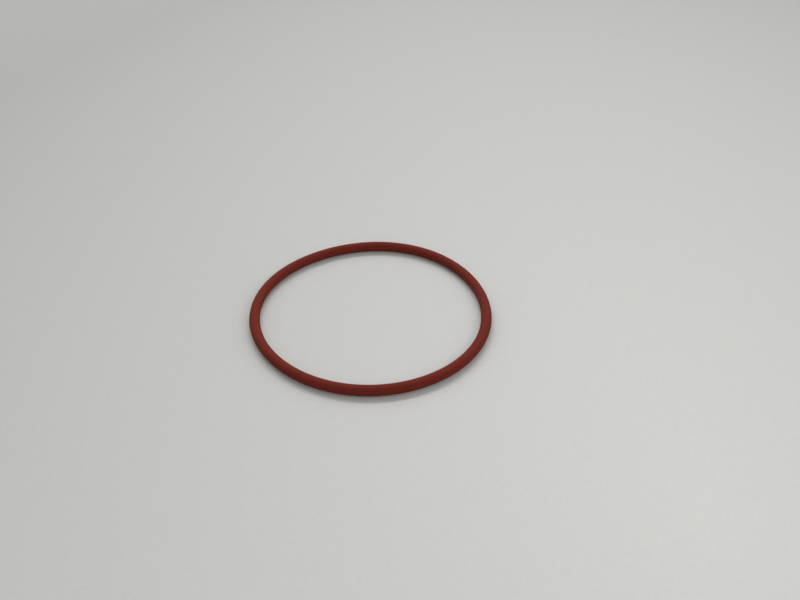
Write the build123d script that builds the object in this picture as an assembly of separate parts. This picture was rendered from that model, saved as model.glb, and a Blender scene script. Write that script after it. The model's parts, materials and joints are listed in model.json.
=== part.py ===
from build123d import *
from math import sqrt
import os

# Silicone o-ring, in millimetres: one solid ring of round section, compression moulded
# in a two-part mould. The origin is the centre of the ring, on its axis and in its
# mid-plane, and +Z runs along the axis. The ring lies flat, with its axis upright.

# Driving dimensions. Diameters are the nominal ones, taken over the round section.
inside_diameter = 75.79
section_diameter = 3.53

# The mould halves meet in the mid-plane, and a thin rib of flash is left where they
# do, round the inside and the outside of the ring. It is trimmed to a narrow land.
flash_height = 0.05
flash_land_width = 0.06
flash_root_width = 0.16

section_radius = section_diameter / 2
centre_line_radius = inside_diameter / 2 + section_radius


def flash_rib(side):
    """The rib's profile about the section's centre: side is 1 outside and -1 inside."""
    root = side * sqrt(section_radius**2 - (flash_root_width / 2) ** 2)
    tip = side * (section_radius + flash_height)
    corners = [
        (root, -flash_root_width / 2),
        (tip, -flash_land_width / 2),
        (tip, flash_land_width / 2),
        (root, flash_root_width / 2),
    ]
    return make_face(Polyline(*corners, close=True))


def ring_section():
    """The section's profile about its own centre: X away from the axis, Y along it."""
    return Circle(section_radius) + flash_rib(1) + flash_rib(-1)


def o_ring():
    """The section, stood in the XZ plane and turned once about the ring's axis."""
    profile = Plane.XZ * Pos(centre_line_radius, 0) * ring_section()
    return revolve(profile, Axis.Z)


os.makedirs("parts", exist_ok=True)
export_step(o_ring(), "parts/o_ring.step")
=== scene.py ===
import json
from math import asin, cos, pi, radians, sin

import bpy
import numpy as np
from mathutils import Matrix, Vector


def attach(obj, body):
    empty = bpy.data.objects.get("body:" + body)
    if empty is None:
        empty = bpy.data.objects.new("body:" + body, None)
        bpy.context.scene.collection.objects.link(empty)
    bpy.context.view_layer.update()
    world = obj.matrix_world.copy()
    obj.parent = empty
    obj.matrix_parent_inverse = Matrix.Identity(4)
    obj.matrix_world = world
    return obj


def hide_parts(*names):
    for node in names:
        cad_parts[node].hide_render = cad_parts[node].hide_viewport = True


# A silicone o-ring lying flat on a pale floor. Lengths are metres, in the frame of the
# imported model: the origin is the ring's centre, +Z is its axis and -Y is its near side.

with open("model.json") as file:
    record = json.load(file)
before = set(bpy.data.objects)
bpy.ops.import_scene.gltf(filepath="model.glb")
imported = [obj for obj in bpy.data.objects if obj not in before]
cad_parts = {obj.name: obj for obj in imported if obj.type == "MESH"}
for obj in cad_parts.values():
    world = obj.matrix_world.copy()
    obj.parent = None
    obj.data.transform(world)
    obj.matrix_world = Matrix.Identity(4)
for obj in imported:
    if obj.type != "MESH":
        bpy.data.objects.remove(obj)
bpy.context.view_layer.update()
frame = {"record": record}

# The ring's sizes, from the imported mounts: its walls at the tips of the flash ribs.
wall = {mount["name"]: mount["dims"]["r_mm"] / 1000 for mount in frame["record"]["mounts"]}
flash_height = 0.05e-3
section_radius = (wall["housing_seat"] - wall["shaft_seat"]) / 2 - flash_height
ring_radius = (wall["housing_seat"] + wall["shaft_seat"]) / 2
floor_z = -section_radius

# Soft rubber lies a little out of round. Each lobe is how many there are round the ring,
# how far they stand out, and the angle of the first one.
relaxed_lobes = [
    (2, 0.11e-3, radians(47)),
    (3, 0.26e-3, radians(62.5)),
    (4, 0.13e-3, radians(72.5)),
]

# The flash at the parting line, inside and outside, and how it varies round the ring.
flash_land_width = 0.06e-3
flash_root_width = 0.16e-3
flash_trim_swell = 0.3       # share of its height that the trimming leaves uneven
flash_trim_waves = 9         # the most waves of that round the ring
flash_rag_swell = 0.22       # share of its height that the torn edge varies by
flash_rag_waves = 400
mould_mismatch = 0.012e-3    # how far the upper half of the section stands off the lower
mould_mismatch_waves = 2
faintest_wave = 0.3          # the least a random curve's wave may be, where the most is 1

# The mesh.
random_seed = 12             # of everything random in the shape
steps_round = 1440
steps_over_arc = 20          # round the upper half of the section, and round the lower
root_support = radians(0.9)  # spacing of the points that keep a rib's root crisp
map_strips = 5               # the ring is cut into this many strips on its texture map
map_gap = 0.004              # share of the map left free round each strip


# The ring's shape

def uneven(rng, waves):
    """A smooth random curve round the ring, from -1 to 1, with up to that many waves."""
    spectrum = np.zeros(steps_round // 2 + 1, complex)
    phases = rng.uniform(0, 2 * pi, waves)
    spectrum[1:waves + 1] = rng.uniform(faintest_wave, 1, waves) * np.exp(1j * phases)
    curve = np.fft.irfft(spectrum, steps_round)
    return curve / np.abs(curve).max()


def centre_line():
    """The relaxed centre line, and its outward direction, at each step round the ring."""
    turn = np.arange(steps_round) * 2 * pi / steps_round
    radius = np.full(steps_round, ring_radius)
    growth = np.zeros(steps_round)
    for count, height, first in relaxed_lobes:
        radius += height * np.cos(count * (turn - first))
        growth -= height * count * np.sin(count * (turn - first))
    out = np.stack([np.cos(turn), np.sin(turn)], 1)
    ahead = np.stack([-np.sin(turn), np.cos(turn)], 1)
    outward = out * radius[:, None] - ahead * growth[:, None]
    outward /= np.linalg.norm(outward, axis=1, keepdims=True)
    return out * radius[:, None], outward


def section_points():
    """The section's points in order, from the outer rib over the top and back below.

    Each is (side, where, across). On a rib, side is 1 outside and -1 inside, where is 1
    on its land and 0 at its root, and across is its place along Z. On the round section,
    side and across are 0, and where is the point's angle.
    """
    root = asin(flash_root_width / 2 / section_radius)
    first = root + root_support
    round_part = np.linspace(first + root_support, pi - first - root_support, steps_over_arc)
    angles = [first, *round_part, pi - first]
    points = []
    for side, start in ((1, 0), (-1, pi)):
        points.append((side, 0, -side * flash_root_width / 2))
        points.append((side, 1, -side * flash_land_width / 2))
        points.append((side, 1, side * flash_land_width / 2))
        points.append((side, 0, side * flash_root_width / 2))
        points += [(0, start + angle, 0) for angle in angles]
    return points


def flash_heights(rng):
    """How high the flash stands at each step round the ring, outside and inside."""
    heights = {}
    for side in (1, -1):
        swell = flash_trim_swell * uneven(rng, flash_trim_waves)
        swell += flash_rag_swell * uneven(rng, flash_rag_waves)
        heights[side] = flash_height * (1 + swell)
    return heights


def ring_rows(rng):
    """The ring's vertices: a section for each step round it."""
    centre, outward = centre_line()
    flash = flash_heights(rng)
    mismatch = mould_mismatch / 2 * uneven(rng, mould_mismatch_waves)
    root = (section_radius**2 - (flash_root_width / 2) ** 2) ** 0.5

    rows = []
    for side, where, across in section_points():
        if side:
            out = side * (section_radius + flash[side] if where == 1 else root)
            up = across
        else:
            out = section_radius * cos(where)
            up = section_radius * sin(where)
        out = out + (mismatch if up > 0 else -mismatch)
        place = centre + outward * np.reshape(out, (-1, 1))
        rows.append(np.column_stack([place, np.full(steps_round, up)]))
    return np.stack(rows, 1)


def section_lengths(rows):
    """How far round the section each point lies, from the first back to itself."""
    section = np.vstack([rows[0], rows[0][:1]])
    return np.concatenate([[0], np.cumsum(np.linalg.norm(np.diff(section, axis=0), axis=1))])


def add_texture_map(mesh, rows):
    """Lays the ring out on its map as equal strips, each a share of the way round it."""
    steps = len(rows)
    per_strip = steps // map_strips
    room = 1 - 2 * map_gap
    step = np.arange(steps)[:, None, None]
    beyond = np.array([0, 1, 1, 0])
    u = (step % per_strip + beyond) / per_strip
    lengths = section_lengths(rows) / section_lengths(rows)[-1]
    v = np.stack([lengths[:-1], lengths[:-1], lengths[1:], lengths[1:]], 1)
    v = (step // per_strip + map_gap + v[None] * room) / map_strips
    u = np.broadcast_to(map_gap + u * room, v.shape)
    layer = mesh.uv_layers.new(name="OFBake")
    layer.uv.foreach_set("vector", np.stack([u, v], -1).ravel())


def add_point_values(mesh, name, rows, values):
    """Gives every section's points the same values, one for each point of a section."""
    attribute = mesh.attributes.new(name, "FLOAT", "POINT")
    attribute.data.foreach_set("value", np.tile(values, len(rows)))


def add_section_place(mesh, rows):
    """Gives each point its distance round the section from the outer parting line."""
    lengths = section_lengths(rows)
    distance = np.minimum(lengths[:-1], lengths[-1] - lengths[:-1])
    add_point_values(mesh, "section_place", rows, distance)


def add_flash_share(mesh, rows):
    """Marks the points on the land of the flash with 1, and the rest with 0."""
    on_land = [float(side != 0 and where == 1) for side, where, _ in section_points()]
    add_point_values(mesh, "flash_share", rows, on_land)


def make_ring(rng):
    """The ring's mesh: its sections, joined round the ring by rows of square faces."""
    rows = ring_rows(rng)
    steps, points = rows.shape[:2]
    here = np.arange(steps * points).reshape(steps, points)
    ahead = np.roll(here, -1, 0)
    faces = np.stack([here, ahead, np.roll(ahead, -1, 1), np.roll(here, -1, 1)], -1)
    mesh = bpy.data.meshes.new("silicone_ring")
    mesh.from_pydata(rows.reshape(-1, 3).tolist(), [], faces.reshape(-1, 4).tolist())
    mesh.shade_smooth()
    add_texture_map(mesh, rows)
    add_section_place(mesh, rows)
    add_flash_share(mesh, rows)
    mesh.update()
    ring = bpy.data.objects.new("silicone_ring", mesh)
    bpy.context.scene.collection.objects.link(ring)
    return ring


# Nodes, for the materials and the room

class Nodes:
    """Short calls that build a tree of nodes. An input is a number, a colour or a socket."""

    def __init__(self, owner):
        owner.use_nodes = True
        self.tree = owner.node_tree

    def fill(self, socket, value):
        if isinstance(value, bpy.types.NodeSocket):
            self.tree.links.new(value, socket)
        else:
            socket.default_value = value

    def add(self, kind, inputs, **settings):
        node = self.tree.nodes.new(kind)
        for name, value in settings.items():
            setattr(node, name, value)
        for name, value in inputs.items():
            self.fill(node.inputs[name], value)
        return node

    def math(self, operation, first, second=0.0):
        return self.add("ShaderNodeMath", {0: first, 1: second}, operation=operation).outputs[0]

    def vector_math(self, operation, first, second):
        inputs = {0: first, 1: second}
        return self.add("ShaderNodeVectorMath", inputs, operation=operation).outputs[0]

    def length(self, vector):
        node = self.add("ShaderNodeVectorMath", {0: vector}, operation="LENGTH")
        return node.outputs["Value"]

    def place(self):
        return self.add("ShaderNodeTexCoord", {}).outputs["Object"]

    def mark(self, name):
        return self.add("ShaderNodeAttribute", {}, attribute_name=name).outputs["Fac"]

    def noise(self, vector, per_metre, detail):
        inputs = {"Vector": vector, "Scale": per_metre, "Detail": detail}
        return self.add("ShaderNodeTexNoise", inputs).outputs["Fac"]

    def range(self, value, low, high, to_low=0.0, to_high=1.0):
        inputs = {"Value": value, "From Min": low, "From Max": high}
        inputs |= {"To Min": to_low, "To Max": to_high}
        return self.add("ShaderNodeMapRange", inputs).outputs["Result"]

    def mix(self, share, first, second):
        node = self.add("ShaderNodeMix", {0: share}, data_type="RGBA")
        self.fill(node.inputs[6], first)
        self.fill(node.inputs[7], second)
        return node.outputs[2]

    def bump(self, height, depth, normal=None):
        inputs = {"Height": height, "Distance": depth, "Strength": 1.0}
        if normal:
            inputs["Normal"] = normal
        return self.add("ShaderNodeBump", inputs).outputs["Normal"]

    def seen(self):
        """1 where the camera sees a thing, straight or in gloss or glass, and 0 elsewhere."""
        path = self.add("ShaderNodeLightPath", {}).outputs
        mirrored = self.math("MAXIMUM", path["Is Glossy Ray"], path["Is Transmission Ray"])
        return self.math("MAXIMUM", path["Is Camera Ray"], mirrored)

    def shade(self, **inputs):
        shader = self.tree.nodes["Principled BSDF"]
        for name, value in inputs.items():
            self.fill(shader.inputs[name.replace("_", " ")], value)


def tint(colour, by=1):
    """A linear colour, lighter or darker by a share, ready for a node."""
    return (*[channel * by for channel in colour], 1)


noise_span = (0.3, 0.7)      # most of a noise's values lie between these

# The silicone. Scales are in waves for each metre, depths are of bumps, and a share is
# the most of a tint that is mixed in.
silicone_red = (0.146, 0.0212, 0.0132)
silicone_refraction = 1.41
silicone_gloss = 0.08
silicone_roughness = (0.6, 0.68)

clouds_scale = 230
clouds_tints = (0.96, 1.055)
clouds_depth = 30e-6

drift_scale = 60
drift_span = (0.35, 0.65)
drift_red = (0.152, 0.0205, 0.0120)
drift_share = 0.5

grain_scale = 4600
grain_span = (0.35, 0.75)
grain_tint = 0.85
grain_share = 0.6
grain_roughness = (-0.03, 0.05)
grain_depth = 16e-6

turning_scale_along = 110    # the marks are long round the ring
turning_scale_across = 4200  # and fine across it
turning_lower_shift = 0.4    # keeps the marks below from mirroring those above
turning_span = (0.5, 0.8)
turning_tint = 1.16
turning_share = 0.6
turning_depth = 14e-6

# Painted light: the land of the flash is painted a lighter orange-red, for light that shows
# through the thin rubber.
flash_painted_glow = (0.22, 0.042, 0.026)
flash_painted_glow_share = 0.5


def turning_marks(nodes, place):
    """Fine lines that run round the ring, left by the tool that turned the mould."""
    parts = nodes.add("ShaderNodeSeparateXYZ", {0: place}).outputs
    shift = nodes.math("MULTIPLY", parts["Z"], turning_lower_shift)
    round_section = nodes.math("ADD", nodes.mark("section_place"), shift)
    vector = nodes.add("ShaderNodeCombineXYZ", {
        "X": nodes.math("MULTIPLY", parts["X"], turning_scale_along),
        "Y": nodes.math("MULTIPLY", parts["Y"], turning_scale_along),
        "Z": nodes.math("MULTIPLY", round_section, turning_scale_across),
    }).outputs[0]
    return nodes.noise(vector, 1.0, 2.0)


def silicone():
    """Brick-red silicone rubber, satin to matt as it comes out of the mould."""
    material = bpy.data.materials.new("silicone")
    nodes = Nodes(material)
    place = nodes.place()
    clouds = nodes.noise(place, clouds_scale, 3.0)
    drift = nodes.noise(place, drift_scale, 1.0)
    grain = nodes.noise(place, grain_scale, 2.0)
    marks = turning_marks(nodes, place)

    darkest, palest = [tint(silicone_red, by) for by in clouds_tints]
    colour = nodes.mix(nodes.range(clouds, *noise_span), darkest, palest)
    share = nodes.range(drift, *drift_span, 0.0, drift_share)
    colour = nodes.mix(share, colour, tint(drift_red))
    share = nodes.range(grain, *grain_span, 0.0, grain_share)
    colour = nodes.mix(share, colour, tint(silicone_red, grain_tint))
    share = nodes.range(marks, *turning_span, 0.0, turning_share)
    colour = nodes.mix(share, colour, tint(silicone_red, turning_tint))
    # Painted light showing through the thin flash: its land is tinted a lighter orange-red.
    share = nodes.math("MULTIPLY", nodes.mark("flash_share"), flash_painted_glow_share)
    colour = nodes.mix(share, colour, tint(flash_painted_glow))

    rough = nodes.range(clouds, *noise_span, *silicone_roughness)
    rough = nodes.math("ADD", rough, nodes.range(grain, *noise_span, *grain_roughness))
    normal = nodes.bump(clouds, clouds_depth)
    normal = nodes.bump(marks, turning_depth, normal)
    normal = nodes.bump(grain, grain_depth, normal)
    nodes.shade(Base_Color=colour, Roughness=rough, Normal=normal)
    nodes.shade(IOR=silicone_refraction, Specular_IOR_Level=silicone_gloss)
    return material


# The floor and the room

room_colour = (1, 1, 0.98)
room_seen = 0.56             # how bright the room looks past the floor
room_light_low = 0.5         # its light at the horizon
room_light_high = 0.39       # and overhead

floor_reach = 120 * ring_radius
# Painted light on the floor: its colour is brightest at one spot near the ring and painted dimmer
# away from it.
floor_painted_light_centre = (2.3 * ring_radius, -2.1 * ring_radius, floor_z)
floor_whiteness = 0.634      # at its brightest
floor_painted_dimming_most = 0.215        # the most whiteness that it loses further off
floor_painted_dimming_over = (39 * ring_radius, 62 * ring_radius)  # along X and Y, for a loss of 1
floor_tone = (1.003, 1, 0.981)
floor_roughness = 0.95
floor_fibre_scale = 900
floor_fibre_tints = (0.985, 1.015)
fade_begins = 12 * ring_radius
fade_ends = 36 * ring_radius


def fade_into_room(nodes, place):
    """Far from the ring, what is seen of the floor turns into the look of the room."""
    far = nodes.range(nodes.length(place), fade_begins, fade_ends)
    room = nodes.add("ShaderNodeEmission", {"Color": tint(room_colour), "Strength": room_seen})
    board = nodes.tree.nodes["Principled BSDF"]
    share = nodes.math("MULTIPLY", far, nodes.seen())
    blend = nodes.add("ShaderNodeMixShader", {0: share, 1: board.outputs[0], 2: room.outputs[0]})
    nodes.fill(nodes.tree.nodes["Material Output"].inputs["Surface"], blend.outputs[0])


def pale_floor():
    """Pale matt board, with a painted pool of light: brightest beside the ring and painted dimmer
    away from it.
    """
    material = bpy.data.materials.new("pale_floor")
    nodes = Nodes(material)
    place = nodes.place()
    # Painted light: the floor's colour loses whiteness with distance from its brightest spot.
    away = nodes.vector_math("SUBTRACT", place, floor_painted_light_centre)
    away = nodes.vector_math("MULTIPLY", away, (1 / floor_painted_dimming_over[0], 1 / floor_painted_dimming_over[1], 0))
    painted_dimness = nodes.math("MINIMUM", nodes.length(away), floor_painted_dimming_most)
    fibres = nodes.noise(place, floor_fibre_scale, 3.0)
    fibres = nodes.range(fibres, *noise_span, *floor_fibre_tints)
    level = nodes.math("MULTIPLY", nodes.math("SUBTRACT", floor_whiteness, painted_dimness), fibres)
    tones = zip(("Red", "Green", "Blue"), floor_tone)
    channels = {name: nodes.math("MULTIPLY", level, tone) for name, tone in tones}
    colour = nodes.add("ShaderNodeCombineColor", channels).outputs[0]
    nodes.shade(Base_Color=colour, Roughness=floor_roughness, Specular_IOR_Level=0.0)
    fade_into_room(nodes, place)
    return material


def make_floor():
    """A flat square floor under the ring."""
    corners = [(-1, -1), (1, -1), (1, 1), (-1, 1)]
    mesh = bpy.data.meshes.new("floor")
    places = [(x * floor_reach, y * floor_reach, floor_z) for x, y in corners]
    mesh.from_pydata(places, [], [(0, 1, 2, 3)])
    floor = bpy.data.objects.new("floor", mesh)
    floor.data.materials.append(pale_floor())
    bpy.context.scene.collection.objects.link(floor)


def make_room():
    """A pale room all round, which lights the ring and shows past the floor."""
    world = bpy.data.worlds.new("room")
    nodes = Nodes(world)
    direction = nodes.add("ShaderNodeTexCoord", {}).outputs["Generated"]
    height = nodes.add("ShaderNodeSeparateXYZ", {0: direction}).outputs["Z"]
    light = nodes.range(height, 0.0, 1.0, room_light_low, room_light_high)
    strength = nodes.add("ShaderNodeMix", {"Factor": nodes.seen(), "A": light, "B": room_seen})
    background = nodes.tree.nodes["Background"]
    nodes.fill(background.inputs["Strength"], strength.outputs["Result"])
    nodes.fill(background.inputs["Color"], tint(room_colour))
    bpy.context.scene.world = world


# Lamps and camera

panel_distance = 60 * ring_radius
panel_points = 21            # across a panel, and up it, where its light is added up

camera_place = Vector((0.248, -5.807, 4.5655)) * ring_radius
camera_pitch = radians(37.45)
camera_film_mm = 36
camera_lens_mm = 38.25
camera_nearest = 0.01


def panel_share_reached(rise, width, height):
    """How well a panel's points light the floor at the ring, on average: 1 is overhead."""
    places = np.linspace(-0.5, 0.5, panel_points)
    side, up = np.meshgrid(places * width, places * height)
    return np.mean((sin(rise) + up * cos(rise)) / (1 + side**2 + up**2) ** 2)


def softbox(name, azimuth, elevation, width, height, share):
    """A panel of soft light that gives the floor that share of a plain level of light.

    Azimuth and elevation are degrees, and azimuth runs from +Y towards +X. Width and
    height are shares of panel_distance.
    """
    turn, rise = radians(azimuth), radians(elevation)
    towards = Vector((sin(turn) * cos(rise), cos(turn) * cos(rise), sin(rise)))
    lamp = bpy.data.lights.new(name, "AREA")
    lamp.shape = "RECTANGLE"
    lamp.size = width * panel_distance
    lamp.size_y = height * panel_distance
    reached = panel_share_reached(rise, width, height)
    lamp.energy = share * pi**2 * panel_distance**2 / reached
    panel = bpy.data.objects.new(name, lamp)
    panel.location = towards * panel_distance
    panel.rotation_euler = towards.to_track_quat("Z", "Y").to_euler()
    panel.visible_camera = False
    bpy.context.scene.collection.objects.link(panel)


def make_camera():
    """A camera in front of the ring that looks down on it, level from side to side."""
    data = bpy.data.cameras.new("camera")
    data.sensor_width = camera_film_mm
    data.lens = camera_lens_mm
    data.clip_start = camera_nearest
    camera = bpy.data.objects.new("camera", data)
    camera.location = camera_place
    camera.rotation_euler = (pi / 2 - camera_pitch, 0, 0)
    bpy.context.scene.collection.objects.link(camera)
    bpy.context.scene.camera = camera


def main():
    """Makes the ring, and the floor, room, lamps and camera round it."""
    ring = make_ring(np.random.default_rng(random_seed))
    ring.data.materials.append(silicone())
    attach(ring, "root")
    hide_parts("o_ring")
    make_floor()
    softbox("key", azimuth=-8, elevation=50, width=0.9, height=0.12, share=0.25)
    softbox("back", azimuth=-5, elevation=42, width=2.2, height=0.74, share=0.21)
    softbox("fill", azimuth=126, elevation=41, width=2.1, height=0.42, share=0.13)
    make_room()
    make_camera()
    bpy.context.scene.view_settings.view_transform = "Standard"


main()
